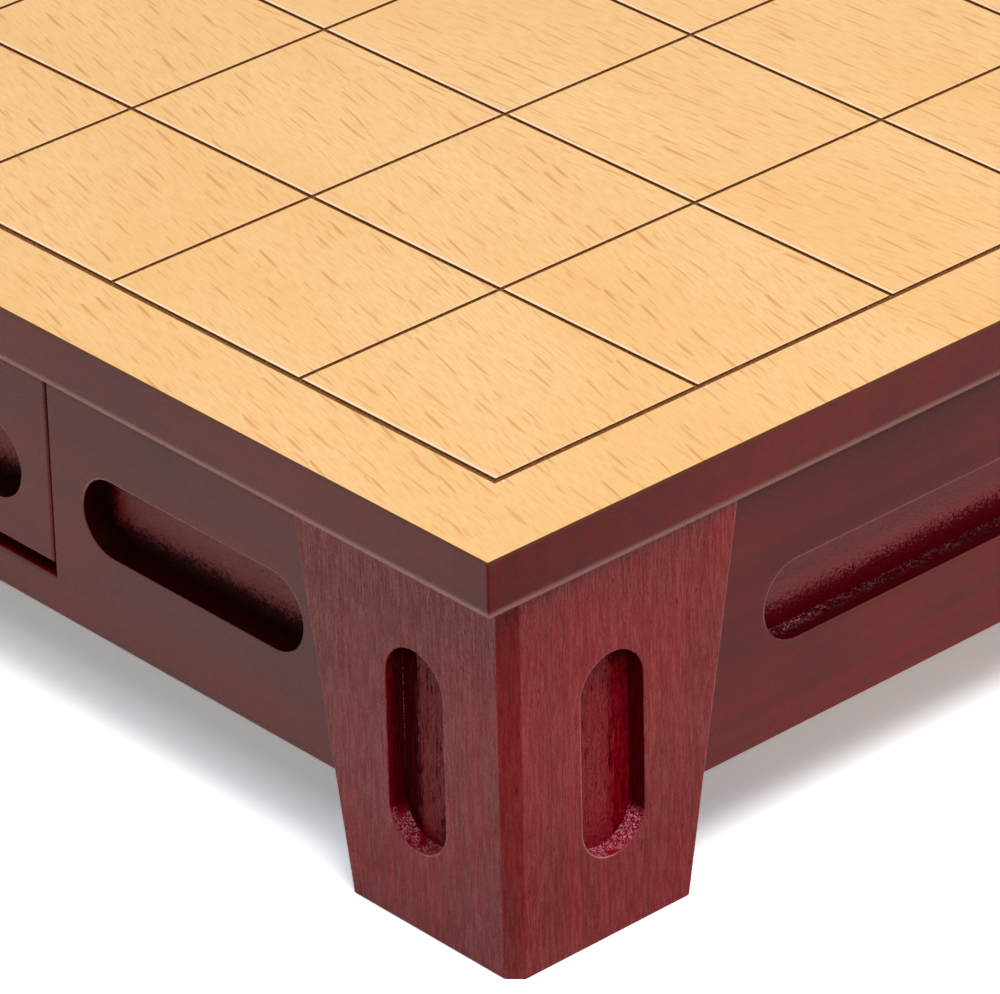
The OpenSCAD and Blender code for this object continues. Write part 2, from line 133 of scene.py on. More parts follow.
class Finish:
    """The nodes of a material, or of the room's light, in the making."""

    def __init__(self, owner, shader="Principled BSDF"):
        owner.use_nodes = True
        self.tree = owner.node_tree
        self.shader = self.tree.nodes[shader]

    def node(self, kind, settings=(), inputs=(), output=0):
        """Adds a node of any kind: its settings first, then the values or links of its sockets."""
        made = self.tree.nodes.new(kind)
        for name, setting in dict(settings).items():
            setattr(made, name, setting)
        self.join(made, inputs)
        return Value(self, made.outputs[output])

    def join(self, made, inputs):
        named = inputs.items() if isinstance(inputs, dict) else enumerate(inputs)
        for name, given in named:
            if isinstance(given, Value):
                self.tree.links.new(given.socket, made.inputs[name])
            elif made.inputs[name].type == "RGBA":
                made.inputs[name].default_value = (*given, 1.0)
            else:
                made.inputs[name].default_value = given

    def set(self, **sockets):
        """Sets or links sockets of the first shader, with _ for each space in their names."""
        self.join(self.shader, {name.replace("_", " "): given for name, given in sockets.items()})

    def show(self, shader):
        """Puts a shader other than the first one on the surface."""
        self.join(self.tree.nodes["Material Output"], {"Surface": shader})

    def mix(self, share, one, other):
        """The colour one where share is 0, and other where it is 1."""
        return self.node(
            "ShaderNodeMix", {"data_type": "RGBA", "clamp_factor": True},
            {0: share, 6: one, 7: other}, output=2)

    def parts(self, whole, kind="ShaderNodeSeparateXYZ"):
        """The three parts of a place, a direction or a colour."""
        first = self.node(kind, inputs=[whole])
        return [first, first.beside(1), first.beside(2)]

    def place(self, scale=1000.0):
        """Where the surface is on its piece, as x, y and z, in millimetres."""
        where = self.node("ShaderNodeTexCoord", output="Object")
        return self.parts(self.node(
            "ShaderNodeVectorMath", {"operation": "SCALE"}, {0: where, "Scale": scale}))

    def facing(self):
        """Which way the surface looks on its piece, as x, y and z."""
        return self.parts(self.node("ShaderNodeTexCoord", output="Normal"))

    def point(self, x=0.0, y=0.0, z=0.0):
        return self.node("ShaderNodeCombineXYZ", inputs=[x, y, z])

    def noise(self, where, scale=1.0, detail=2.0, rough=0.5, warp=0.0):
        """Soft cloudy noise about 0.5."""
        return self.node(
            "ShaderNodeTexNoise", {},
            {"Vector": where, "Scale": scale, "Detail": detail, "Roughness": rough, "Distortion": warp})

    def relief(self, height, metres):
        """Raises the surface by height times metres and gives the tilted normal."""
        return self.node(
            "ShaderNodeBump", {}, {"Height": height, "Distance": metres, "Strength": 1.0})


FLOOR_SIZE = 12.0
FLOOR_WHITE = 0.86
# The tints are written twice as strong, because the share that mixes them in stops at 1
TINT_DOUBLE = 2.0
# The paper is lit past white for the camera, with a little more glow under the left side
SHOWN_WHITE = 1.8
SHOWN_TINT = (2.0, 1.98, 1.98)
SHOWN_GLOW = 0.28
SHOWN_LEFT = 0.16
GLOW_COLOUR = (0.74, 0.87, 1.0)
LIT_UNDER = (-0.1592, -0.1658)
# The gloss sees it brighter on the left than on the right, and dim where it nears the camera
MIRRORED_LEFT = 1.15
MIRRORED_RIGHT = 0.75
MIRRORED_DIM = 0.25
MIRRORED_TINT = (2.0, 1.92, 1.82)
SIDES_MEET = (-0.06, 0.06)
DIM_FROM = (-0.01, 0.03)
NEAR_CORNER = (-0.174, -0.188)
TO_CAMERA = (-0.667, -0.745)
BLACK = (0.0, 0.0, 0.0)


def white_paper(name):
    """Paper that the camera sees lit past white, and the gloss dimmer towards the camera."""
    white = bpy.data.materials.new(name)
    paper = Finish(white)
    shown = paper.node("ShaderNodeLightPath", output="Is Camera Ray")
    mirrored = shown.beside("Is Glossy Ray")
    x, y, _ = paper.place(1.0)
    forward = (x - NEAR_CORNER[0]) * TO_CAMERA[0] + (y - NEAR_CORNER[1]) * TO_CAMERA[1]
    toward = forward.fade(*DIM_FROM)
    mirror = (x - y).fade(*SIDES_MEET) * (MIRRORED_RIGHT - MIRRORED_LEFT) + MIRRORED_LEFT
    mirror = mirror * (1 - toward) + toward * MIRRORED_DIM
    level = 1 + shown * (SHOWN_WHITE - 1) + mirrored * (mirror - 1)
    tint = paper.mix(shown, MIRRORED_TINT, SHOWN_TINT)
    glow = SHOWN_GLOW + x.fade(*LIT_UNDER) * SHOWN_LEFT
    paper.set(
        Base_Color=paper.mix(level * (FLOOR_WHITE / TINT_DOUBLE), BLACK, tint), Roughness=1.0,
        Specular_IOR_Level=0.0, Emission_Color=GLOW_COLOUR, Emission_Strength=shown * glow)
    return white


bpy.ops.object.select_all(action="DESELECT")
bpy.ops.mesh.primitive_plane_add(size=FLOOR_SIZE, location=(0, 0, 0))
floor = bpy.context.object
floor.name = "floor"
floor.data.materials.append(white_paper("white_paper"))


# Light: a soft lamp high up on the camera's side, a little to its right, in a dim white room.
# The camera sees the room as white; the gloss sees it white behind the table, dark in front.
ROOM_LIGHT = 0.18
ROOM_SEEN = 1.0
ROOM_DARK = 0.35
ROOM_DARK_FROM = (0.0, 0.6)
LAMP_FROM = (-0.25, -0.85, 1.65)
LAMP_AIM = (0.0, 0.0, 0.03)
LAMP_SIZE = (1.3, 0.9)
LAMP_WATTS = 31.5

room = bpy.data.worlds.new("room")
bpy.context.scene.world = room
air = Finish(room, "Background")
way = air.node("ShaderNodeTexCoord", output="Generated")
ahead = air.node("ShaderNodeVectorMath", {"operation": "DOT_PRODUCT"},
                 {0: way, 1: (*TO_CAMERA, 0.0)}, output="Value")
shown = air.node("ShaderNodeLightPath", output="Is Camera Ray")
mirrored = shown.beside("Is Glossy Ray")
mirror = ROOM_SEEN - ahead.fade(*ROOM_DARK_FROM) * (ROOM_SEEN - ROOM_DARK)
unseen = (1 - shown.most(mirrored)) * ROOM_LIGHT
air.set(Color=(1.0, 1.0, 1.0), Strength=shown * ROOM_SEEN + mirrored * mirror + unseen)

bulb = bpy.data.lights.new("soft_lamp", "AREA")
bulb.shape = "RECTANGLE"
bulb.size, bulb.size_y = LAMP_SIZE
bulb.energy = LAMP_WATTS
lamp = bpy.data.objects.new("soft_lamp", bulb)
bpy.context.scene.collection.objects.link(lamp)
lamp.visible_camera = False
aim = Vector(LAMP_FROM) - Vector(LAMP_AIM)
lamp.matrix_world = Matrix.Translation(LAMP_FROM) @ aim.to_track_quat("Z", "Y").to_matrix().to_4x4()


# Board core: a solid board on the legs and aprons, screwed down through the cleats. It is
# stained dark crimson, like all that shows under the beech, with a satin coat that mirrors the
# paper. Its lower edge is rounded over and takes a pale painted highlight.
def hue(red, green, blue):
    """A colour given as it shows on a screen, from 0 to 255, as the shader's light values."""
    shares = [part / 255 for part in (red, green, blue)]
    return tuple(s / 12.92 if s <= 0.04045 else ((s + 0.055) / 1.055) ** 2.4 for s in shares)


STAIN_DARK = hue(88, 10, 8)
STAIN_RED = hue(118, 10, 14)
# The pale colour of the painted highlight along rounded rims
STAIN_HIGHLIGHT = hue(172, 122, 114)
STAIN_SHADE = (0.01, 0.0, 0.001)
GLINT = hue(244, 156, 170)
COAT_ROUGHNESS = 0.22
MATT_ROUGHNESS = 0.9
# Heights in mm: where the painted loss of reflection low down fades, how far the painted shade
# under the board reaches down a top edge, and the board's underside, the painted highlight on its
# lower edge and, along Y, the end where that highlight is weaker
LOW_SHEEN_LOSS_H = (34.0, 17.0)
UNDER_BOARD_SHADE_H = 0.9
ABOVE_ALL = 99.0
BOARD_UNDER = 56.82
BOARD_HIGHLIGHT_H = (58.9, 57.7)
BOARD_END = 187.3


def spot_marks(z, **given):
    """What a spot of stained wood is, from 0 to 1 and in which colours: none of it if not given.
    slot is cut into, the shade mark is where a slot is painted dark as shade, end is cut across
    the grain and looks up, spark takes painted glints and dull has lost its gloss; recess, the
    painted shade's colour and lit, a painted lit colour, are colours."""
    none = z * 0
    plain = {"slot": none, "pool": none, "end": none, "spark": none, "dull": none,
             "recess": STAIN_DARK, "pooled": STAIN_DARK, "lit": STAIN_DARK}
    return SimpleNamespace(**{**plain, **given})


def stained(name, dark, red, grain, cuts, rim_highlights, highlight_colour=STAIN_HIGHLIGHT, ior=1.45,
            ripple=0.0, tooth=0.01, low_sheen_loss=0.0, pores=0.0, shade_from=ABOVE_ALL):
    """Stained wood. grain is the axis that the grain runs along. cuts gives the marks of a spot,
    the function after it how far a spot is on a rim that takes a pale painted highlight, and the
    colour after that is the highlight's. ripple is how much painted shade there is between the
    fibres, tooth is their height in millimetres, the value after it is how much redder and less
    glossy the wood is painted low down, a painted loss of reflection, and pores is how open the
    grain is. From shade_from upwards it takes painted shade, as tucked under the board."""
    wood = bpy.data.materials.new(name)
    finish = Finish(wood)
    x, y, z = finish.place()
    even = finish.point(x, y, z)

    def along(squeeze):
        share = {axis: squeeze if axis == grain else 1.0 for axis in "xyz"}
        return finish.point(x * share["x"], y * share["y"], z * share["z"])

    cloud = finish.noise(even, scale=0.03, detail=2.0).fade(0.35, 0.7)
    streak = finish.noise(along(0.04), scale=0.35, detail=4.0, rough=0.55).fade(0.35, 0.65)
    fibre = finish.noise(along(0.08), scale=3.1, detail=2.0, rough=0.6, warp=0.2)
    crumb = finish.noise(along(0.5), scale=3.2, detail=2.0, rough=0.6)
    ragged = finish.noise(along(1 - pores * 0.7), scale=1.6, detail=4.0, rough=0.75) - 0.5
    sharp = finish.noise(even, scale=3.6, detail=2.0, rough=0.7)
    spot = cuts(finish, abs(x), abs(y), z, ragged, sharp)
    rim_highlight = rim_highlights(abs(x), abs(y), z)
    pore = finish.noise(along(0.2), scale=3.2, detail=2.0, rough=0.5).fade(0.72, 0.76)
    crack = finish.noise(along(0.1), scale=3.4, detail=3.0, rough=0.6, warp=0.4).fade(0.62, 0.66)
    open_grain = (pore * (1 - spot.slot)).most(crack * spot.slot * (1 - spot.end)) * pores
    cluster = finish.noise(even, scale=0.4, detail=1.0).fade(0.36, 0.56)
    glint = sharp.fade(0.47, 0.61) * spot.end * cluster * pores
    glint = glint.most(sharp.fade(0.46, 0.58) * spot.spark)

    # Low down the wood is painted redder and less glossy, in streaks: a painted loss of the reflection
    # of the shadowed floor
    low = z.fade(*LOW_SHEEN_LOSS_H) * streak * low_sheen_loss
    tone = finish.mix(cloud * 0.5 + streak * 0.3 + low, dark, red)
    tone = finish.mix(spot.slot, tone, spot.recess)
    # Painted shade in the slots, then the painted lit colour of their feet
    tone = finish.mix(spot.pool, tone, spot.pooled)
    tone = finish.mix(spot.end, tone, spot.lit)
    # The rims take a pale painted highlight, and then the painted glints go in
    tone = finish.mix(rim_highlight, tone, highlight_colour)
    tone = finish.mix(glint, tone, GLINT)
    rough_cut = spot.slot * 0.2 + spot.end * 0.5 + tooth
    relief = finish.relief((crumb - 0.5) * rough_cut + (fibre - open_grain) * tooth, 0.001)
    finish.set(
        Base_Color=tone, Roughness=crumb * 0.1 + COAT_ROUGHNESS - spot.slot * 0.06,
        IOR=ior, Normal=relief)

    # Under the coat lies a matt shader. It keeps the tone where the coat is thin, and is almost black
    # in the open grain, and as painted shade between the fibres and under the board.
    grooves = (fibre * 0.8 + crumb * 0.2).fade(0.62, 0.38) * ripple
    # Painted shade under the board's overhang, from shade_from down
    under_board_shade = z.fade(shade_from - UNDER_BOARD_SHADE_H, shade_from) * 0.24
    speck = crumb.fade(0.58, 0.72) * spot.slot * (1 - spot.end) * 0.2
    matt = (spot.pool * 0.85).most(spot.end * 0.85).most(rim_highlight * 0.2)
    matt = matt + low * 0.2 + spot.dull + grooves * 0.6
    crease = (open_grain * 0.8).most(speck).most(under_board_shade).most(grooves * 0.4)
    hidden = matt + crease - matt * crease
    matt_tone = finish.mix(matt * (1 - crease) / (hidden + 0.001), STAIN_SHADE, tone)
    flat = finish.node(
        "ShaderNodeBsdfPrincipled", {},
        {"Base Color": matt_tone, "Roughness": MATT_ROUGHNESS, "Specular IOR Level": 0.0,
         "Normal": relief})
    coated = Value(finish, finish.shader.outputs[0])
    finish.show(finish.node("ShaderNodeMixShader", inputs=[hidden, coated, flat]))
    return wood


def no_slot(finish, x, y, z, ragged, sharp):
    """The board has nothing cut into it."""
    return spot_marks(z)


def board_rim_highlight(x, y, z):
    """The board takes a pale painted highlight along its lower edge, a little weaker at its two ends.
    """
    return z.fade(*BOARD_HIGHLIGHT_H) * (z > BOARD_UNDER) * (0.92 - (y > BOARD_END) * 0.2)


def assign(material, *names):
    for name in names:
        nodes[name].data.materials.clear()
        nodes[name].data.materials.append(material)


assign(stained("stained_top_board", STAIN_DARK, STAIN_RED, "y", no_slot, board_rim_highlight, tooth=0.02),
       "top_core")


# Playing surface: a thin face of beech on the core, glued up of staves that lie along Y. The
# grid and its four dots are cut into it and filled dark, and its own edge is stained brown.
CELL_W = 36.3
CELL_L = 38.7
CELLS = 9
BORDER_LINE = 1.0
INNER_LINE = 0.7
CUT_FROM = 65.98
BOARD_HALF = (178.35, 189.15)
EDGE_SKIN = 0.04
BEECH = hue(238, 184, 110)
BEECH_PALE = hue(251, 205, 145)
BEECH_WARM = hue(247, 193, 124)
FLECK = hue(214, 134, 64)
FLECK_FINE = hue(212, 144, 72)
LINE_DARK = hue(110, 64, 12)
LINE_GOLD = hue(168, 118, 56)
# The painted highlight on the far lip of a cut
LIP_HIGHLIGHT = hue(255, 236, 222)
EDGE_BROWN = hue(98, 42, 8)
# Where each stave ends, and how its grain leans
STAVE_ENDS = (-95.0, -8.0, 88.0)
STAVE_LEANS = (0.24, -0.03, 0.1, -0.16)
# The share of its cells that a fleck is drawn in
FLECK_KEPT = 0.6
# How far past a cut the painted highlight on its lip reaches, in mm
LIP_HIGHLIGHT_X = (0.6, 0.3)
LIP_HIGHLIGHT_Y = (0.4, 0.1)


def lean_of(x):
    """How far the grain of the stave at x leans off Y, as a slope."""
    lean = STAVE_LEANS[0]
    for end, before, after in zip(STAVE_ENDS, STAVE_LEANS, STAVE_LEANS[1:]):
        lean = (x > end) * (after - before) + lean
    return lean


def flecks(finish, x, y, length, width, spacing, spread, seed):
    """Short curved flecks of beech, one or none in each cell; 1 at the heart of a fleck."""
    pitch_x, pitch_y = spacing
    seed_y = seed * 1.7
    cell = finish.node(
        "ShaderNodeTexVoronoi", {"voronoi_dimensions": "2D"},
        {"Vector": finish.point(x / pitch_x + seed, y / pitch_y + seed_y),
         "Scale": 1.0, "Randomness": 1.0}, output="Position")
    one, two, three = finish.parts(cell.beside("Color"), "ShaderNodeSeparateColor")
    place_x, place_y, _ = finish.parts(cell)
    heart_x = (place_x - seed) * pitch_x
    heart_y = (place_y - seed_y) * pitch_y
    turn = (two - 0.5) * spread + lean_of(heart_x)
    off_x = x - heart_x
    off_y = y - heart_y
    side = off_x - off_y * turn
    run = off_y + off_x * turn
    half = (one * 0.8 + 0.5) * (length / 2)
    bow = (three - 0.5) * 0.5
    share = run / half
    side = side - bow * (share * share)
    thick = (three * 0.7 + 0.5) * (width / 2)
    shape = ((side / thick) ** 2 + share * share).fade(1.2, 0.0)
    return shape * one.fade(1 - FLECK_KEPT, 1.02 - FLECK_KEPT) * (two * 0.6 + 0.4)


def past_line(across, pitch):
    """How far a spot is past the middle of the nearest grid line, in millimetres."""
    return ((across / pitch + 20).math("FRACT") - 0.5) * pitch


def half_line(across, pitch):
    """Half the width of the nearest grid line, which is wider at the border."""
    at_border = abs(across) > (CELLS - 1) * pitch / 2
    return INNER_LINE / 2 + at_border * ((BORDER_LINE - INNER_LINE) / 2)


def beech_surface(name):
    """Beech with flecks of three sizes, the grid's cuts and a painted highlight on the lip beside each.
    """
    beech = bpy.data.materials.new(name)
    playing = Finish(beech)
    x, y, z = playing.place()
    waver = playing.noise(playing.point(x * 0.05, y * 0.02), detail=1.0)
    grain_x = x - y * lean_of(x) + waver * 4
    coarse = flecks(playing, x, y, length=7.5, width=0.62, spacing=(3.4, 8.0), spread=0.16, seed=3.1)
    middle = flecks(playing, x, y, length=4.2, width=0.42, spacing=(2.3, 4.6), spread=0.2, seed=17.7)
    fine = flecks(playing, x, y, length=2.6, width=0.26, spacing=(1.2, 2.8), spread=0.2, seed=41.3)
    fibre = playing.noise(playing.point(grain_x * 2.6, y * 0.3), detail=3.0, rough=0.65)
    cloud = playing.noise(playing.point(grain_x * 0.03, y * 0.012), detail=3.0)
    wood = playing.mix(cloud.fade(0.3, 0.7), BEECH_PALE, BEECH_WARM)
    wood = playing.mix(fibre.fade(0.35, 0.75) * 0.8, wood, BEECH)
    wood = playing.mix(coarse * 0.75, wood, FLECK)
    wood = playing.mix(middle * 0.5, wood, FLECK)
    wood = playing.mix(fine * 0.3, wood, FLECK_FINE)

    on_grid = (abs(x) < CELLS * CELL_W / 2 + BORDER_LINE) * (abs(y) < CELLS * CELL_L / 2 + BORDER_LINE)
    past_x = past_line(x, CELL_W) - half_line(x, CELL_W)
    past_y = past_line(y, CELL_L) - half_line(y, CELL_L)
    # A painted highlight on the lip past each cut, stronger beside the lines that run along Y
    lip_highlight_x = past_x.fade(*LIP_HIGHLIGHT_X) * past_x.fade(0.0, 0.2) * on_grid
    lip_highlight_y = past_y.fade(*LIP_HIGHLIGHT_Y) * (past_y > 0.0) * on_grid
    wood = playing.mix((lip_highlight_x * 0.7).most(lip_highlight_y * 0.3), wood, LIP_HIGHLIGHT)
    grit = playing.noise(playing.point(x, y, z), scale=2.6, detail=2.0).fade(0.56, 0.66)
    wood = playing.mix(z < CUT_FROM, wood, playing.mix(grit * 0.6, LINE_DARK, LINE_GOLD))
    outside = (abs(x) > BOARD_HALF[0] - EDGE_SKIN).most(abs(y) > BOARD_HALF[1] - EDGE_SKIN)
    playing.set(
        Base_Color=playing.mix(outside, wood, EDGE_BROWN), Roughness=fibre * 0.1 + 0.4, IOR=1.42,
        Normal=playing.relief(fibre * 0.4 - coarse * 0.4, 0.00002))
    return beech


assign(beech_surface("beech_playing_surface"), "top_veneer")


# Legs: solid hardwood with upright, open grain, dowelled to the aprons. They are tapered inside
# and slotted on their two outer faces. The slots are painted dark as shade, and each slot's
# end-grain foot is painted as lit, with painted glints.
LEG_FACE = (174.35, 187.95)
LEG_SLOT_AT = (156.18, 169.55)
LEG_SLOT_HALF = 5.6
LEG_SLOT_HALF_L = 15.4
LEG_SLOT_MID = 27.8
LEG_SLOT_DEPTH = 3.2
LEG_FOOT_INNER = (142.55, 156.05)
LEG_TAPER = (0.1655, 0.1778)
LEG_FLAT = (171.95, 185.55)
LEG_IOR = 1.65
# Heights in mm: where a slot's foot with its painted lit colour, its seam with a painted highlight
# and its top with painted dark shade lie, and where the gloss goes
FOOT_H = (30.0, 22.0)
SEAM_H = (19.0, 33.0)
TOP_H = (38.0, 41.5)
DULL_H = (30.0, 6.0)
# How far from a slot's inner side the painted dark shade reaches, in a leg's side face and its end face
SIDE_SHADE_W = (3.7, 2.5)
END_SHADE_W = (4.5, 2.5)
# How far under a face its slots begin, and how far its rounded edges reach
SKIN = (0.06, 0.14)
EDGE = (0.25, 0.12)
LEG_DARK = hue(128, 10, 20)
LEG_RED = hue(156, 14, 30)
# The pale colour of a leg's painted highlight
LEG_HIGHLIGHT = hue(204, 132, 126)
LEG_LIT = hue(158, 4, 40)
LEG_TOP_SHADE = hue(16, 0, 0)
# The slot of a leg's side face, and then that of its end face: the wall and the band beside it painted
# dark as shade, then the recess's stain
SIDE_WALL = hue(62, 0, 4)
SIDE_SHADE = hue(84, 0, 2)
SIDE_SHADE_EDGE = hue(134, 0, 24)
SIDE_RECESS = hue(134, 16, 22)
END_WALL = hue(84, 0, 3)
END_SHADE = hue(102, 0, 12)
END_SHADE_STREAK = hue(150, 5, 28)
END_RECESS = hue(150, 22, 34)


def just_under(level, place):
    """1 for a spot on a face or a little under its level, as on its rounded edges."""
    return place.fade(level - EDGE[0], level - EDGE[1])


def from_slot(run, rise, half_length, half_width):
    """How far outside a slot with round ends a spot is, in millimetres."""
    past_end = (abs(run) - (half_length - half_width)).most(0)
    return (past_end * past_end + rise * rise) ** 0.5 - half_width


def leg_cuts(finish, x, y, z, ragged, sharp):
    """A leg's two slots. Their walls and inner sides are painted dark as shade, their feet show end
    grain painted as lit with painted glints, and a painted highlight runs up the side slot's seam.
    """
    from_x = x - LEG_SLOT_AT[0] + LEG_SLOT_HALF
    from_y = y - LEG_SLOT_AT[1] + LEG_SLOT_HALF
    deep_x = LEG_FACE[0] - x
    deep_y = LEG_FACE[1] - y
    across_x, across_y, up = [abs(axis) for axis in finish.facing()]
    level = abs(z - LEG_SLOT_MID) < LEG_SLOT_HALF_L + 0.5
    beside_y = abs(y - LEG_SLOT_AT[1]) < LEG_SLOT_HALF + 0.4
    beside_x = abs(x - LEG_SLOT_AT[0]) < LEG_SLOT_HALF + 0.4
    in_side = beside_y * deep_x.fade(*SKIN) * (deep_x < LEG_SLOT_DEPTH) * level
    in_end = beside_x * deep_y.fade(*SKIN) * (deep_y < LEG_SLOT_DEPTH) * level
    slot = in_side.most(in_end)
    wall = slot * (1 - (across_x * in_side).most(across_y * in_end)).fade(0.3, 0.7)
    side_shade = (from_y + ragged * 4).fade(*SIDE_SHADE_W) * in_side
    end_shade = (from_x + ragged * 4).fade(*END_SHADE_W) * in_end
    # The bevelled corner takes a little painted shade too
    corner = (x > LEG_FLAT[0] + 0.3) * (y > LEG_FLAT[1] + 0.3)
    pool = side_shade.most(end_shade).most(wall).most(corner * 0.2)
    shallow = (deep_x + ragged * 2).fade(1.6, 0.2)
    on_side = finish.mix(wall, SIDE_WALL, finish.mix(shallow, SIDE_SHADE, SIDE_SHADE_EDGE))
    on_end = finish.mix(wall, finish.mix(ragged.fade(-0.12, 0.12), END_SHADE, END_SHADE_STREAK), END_WALL)
    pooled = finish.mix(in_end, on_side, on_end)
    # A painted highlight line along the seam at the foot of the side slot's wall
    seam = from_y.fade(0.26, 0.06) * in_side * z.fade(*SEAM_H) * (1 - wall)
    return spot_marks(
        z, slot=slot, pool=pool * 0.92, end=slot * up.fade(0.1, 0.5) * z.fade(*FOOT_H),
        recess=finish.mix(in_end, SIDE_RECESS, END_RECESS), lit=LEG_LIT,
        pooled=finish.mix((z + ragged * 3).fade(*TOP_H), pooled, LEG_TOP_SHADE),
        spark=seam * 0.5, dull=z.fade(*DULL_H) * (across_y.fade(0.9, 1.0) * 0.2 + 0.06))


def leg_rim_highlights(x, y, z):
    """A leg takes a pale painted highlight along the inner edges of its outer faces and around its
    slots.
    """
    in_front_x = just_under(LEG_FACE[0], x)
    in_front_y = just_under(LEG_FACE[1], y)
    edge_y = (y - LEG_FOOT_INNER[1] + z * LEG_TAPER[1]).fade(0.4, 0.2) * in_front_x
    edge_x = (x - LEG_FOOT_INNER[0] + z * LEG_TAPER[0]).fade(0.4, 0.2) * in_front_y
    near_x = x - LEG_SLOT_AT[0]
    near_y = y - LEG_SLOT_AT[1]
    rise = z - LEG_SLOT_MID
    around_y = from_slot(rise, near_y, LEG_SLOT_HALF_L, LEG_SLOT_HALF).fade(0.24, 0.08)
    around_x = from_slot(rise, near_x, LEG_SLOT_HALF_L, LEG_SLOT_HALF).fade(0.24, 0.08)
    slot_y = around_y * near_y.fade(-2.0, 2.0) * in_front_x
    slot_x = around_x * near_x.fade(-2.0, 2.0) * in_front_y
    off_corner = (x < LEG_FLAT[0]).most(y < LEG_FLAT[1])
    return (slot_y.most(slot_x) * 0.7).most(edge_y.most(edge_x)) * off_corner


assign(stained("stained_leg", LEG_DARK, LEG_RED, "z", leg_cuts, leg_rim_highlights, highlight_colour=LEG_HIGHLIGHT, ior=LEG_IOR,
               ripple=0.46, tooth=0.2, pores=1.0),
       "leg_front_left", "leg_front_right", "leg_rear_left", "leg_rear_right")


# Aprons: boards dowelled between the legs and stained as the board above them. Their slots are
# routed rough, and each is painted dark as shade along its lower side.
SIDE_FACE = 173.35
END_FACE = 186.95
SLOT_Z = 36.9
SLOT_HALF = 6.0
SLOT_DEPTH = 3.8
# Along a side, from its middle: half of the drawer's pull, where what belongs to the short slot
# begins, and the short slot's two ends
PULL_HALF = 87.55
SHORT_ZONE = 96.95
SHORT_FROM = 100.95
SHORT_TO = 146.49
# Half of an end apron's slot, and how high the painted dark shade reaches in all of them
END_SLOT_HALF = 127.54
SHADE_TO = 34.6
# Painted shade in the aprons' slots: the walls, the lower side and the ledge dark, and low in the end
# slots' recess the ledge's dark reflection
APRON_WALL = hue(46, 2, 4)
APRON_SHADE = hue(42, 3, 4)
APRON_SHADE_EDGE = hue(92, 10, 10)
APRON_RECESS = hue(122, 30, 30)
LEDGE_MIRRORED_SHADE = hue(94, 0, 14)
LEDGE_DARK = hue(58, 4, 10)
# The end slots' recess is painted lighter and greyer than the face, against the shade in it
LEDGE_RECESS_LIGHTENED = hue(142, 58, 60)


def in_slot(deep, beyond):
    """1 for a spot that is cut in under a face and within the outline of its slot."""
    return deep.fade(*SKIN) * (deep < SLOT_DEPTH + 0.1) * (beyond < 0.2)


def beyond_side_slot(y, z):
    """How far a spot is outside the pull, or outside the short slot where that is nearer."""
    short = y > SHORT_ZONE
    run = y - short * ((SHORT_FROM + SHORT_TO) / 2)
    half = short * ((SHORT_TO - SHORT_FROM) / 2 - PULL_HALF) + PULL_HALF
    return from_slot(run, z - SLOT_Z, half, SLOT_HALF)


def side_cuts(finish, x, y, z, ragged, sharp):
    """The slots of a long side: walls painted dark, and painted shade low down and at a short slot's
    near end.
    """
    slot = in_slot(SIDE_FACE - x, beyond_side_slot(y, z))
    out = abs(finish.facing()[0]).fade(0.3, 0.7)
    pool = (z + ragged * 7 + (sharp - 0.5) * 6).fade(SHADE_TO + 1.8, SHADE_TO - 1.2)
    dark_end = (y + ragged * 5 + (sharp - 0.5) * 5).fade(SHORT_FROM + 4.6, SHORT_FROM + 1.6)
    pool = pool.most(dark_end * (y > SHORT_ZONE)).most(1 - out) * slot
    pooled = finish.mix(pool.fade(0.95, 0.4), APRON_SHADE, APRON_SHADE_EDGE)
    pooled = finish.mix(out, APRON_WALL, pooled)
    return spot_marks(z, slot=slot, recess=APRON_RECESS, pool=pool, pooled=pooled)


def side_rim_highlight(x, y, z):
    """A side takes a pale painted highlight around the upper part of its slots."""
    edge = beyond_side_slot(y, z).fade(0.3, 0.18)
    return edge * just_under(SIDE_FACE, x) * (z.fade(SLOT_Z - 1, SLOT_Z + 4) * 0.6)


def end_cuts(finish, x, y, z, ragged, sharp):
    """An end apron's slot: a ledge painted dark as shade and mirrored dark low in the recess, with
    painted glints along its lip and its inner seam.
    """
    slot = in_slot(END_FACE - y, from_slot(x, z - SLOT_Z, END_SLOT_HALF, SLOT_HALF))
    out = abs(finish.facing()[1]).fade(0.3, 0.7)
    pool = (z + ragged * 7 + (sharp - 0.5) * 6).fade(SHADE_TO + 1.0, SHADE_TO - 1.0)
    ledge = (1 - out) * (1 - sharp.fade(0.54, 0.62) * 0.22)
    seam = (z - SLOT_Z + SLOT_HALF).fade(0.25, 0.05) * out
    lip = (y - END_FACE + SLOT_DEPTH).fade(2.6, 0.0) * (1 - out)
    near_end = x.fade(END_SLOT_HALF - 20, END_SLOT_HALF - 3)
    spark = seam.most(lip) * ragged.fade(-0.06, 0.16) * (near_end * 0.7 + 0.25)
    return spot_marks(
        z, slot=slot, recess=LEDGE_RECESS_LIGHTENED, pool=pool.most(1 - out) * slot,
        pooled=finish.mix(ledge, LEDGE_MIRRORED_SHADE, LEDGE_DARK), spark=spark * slot)


def end_rim_highlight(x, y, z):
    """An end apron takes a pale painted highlight around all but the lower part of its slot."""
    edge = from_slot(x, z - SLOT_Z, END_SLOT_HALF, SLOT_HALF).fade(0.32, 0.2)
    return edge * just_under(END_FACE, y) * (z.fade(SLOT_Z - 4, SLOT_Z) * 0.45)


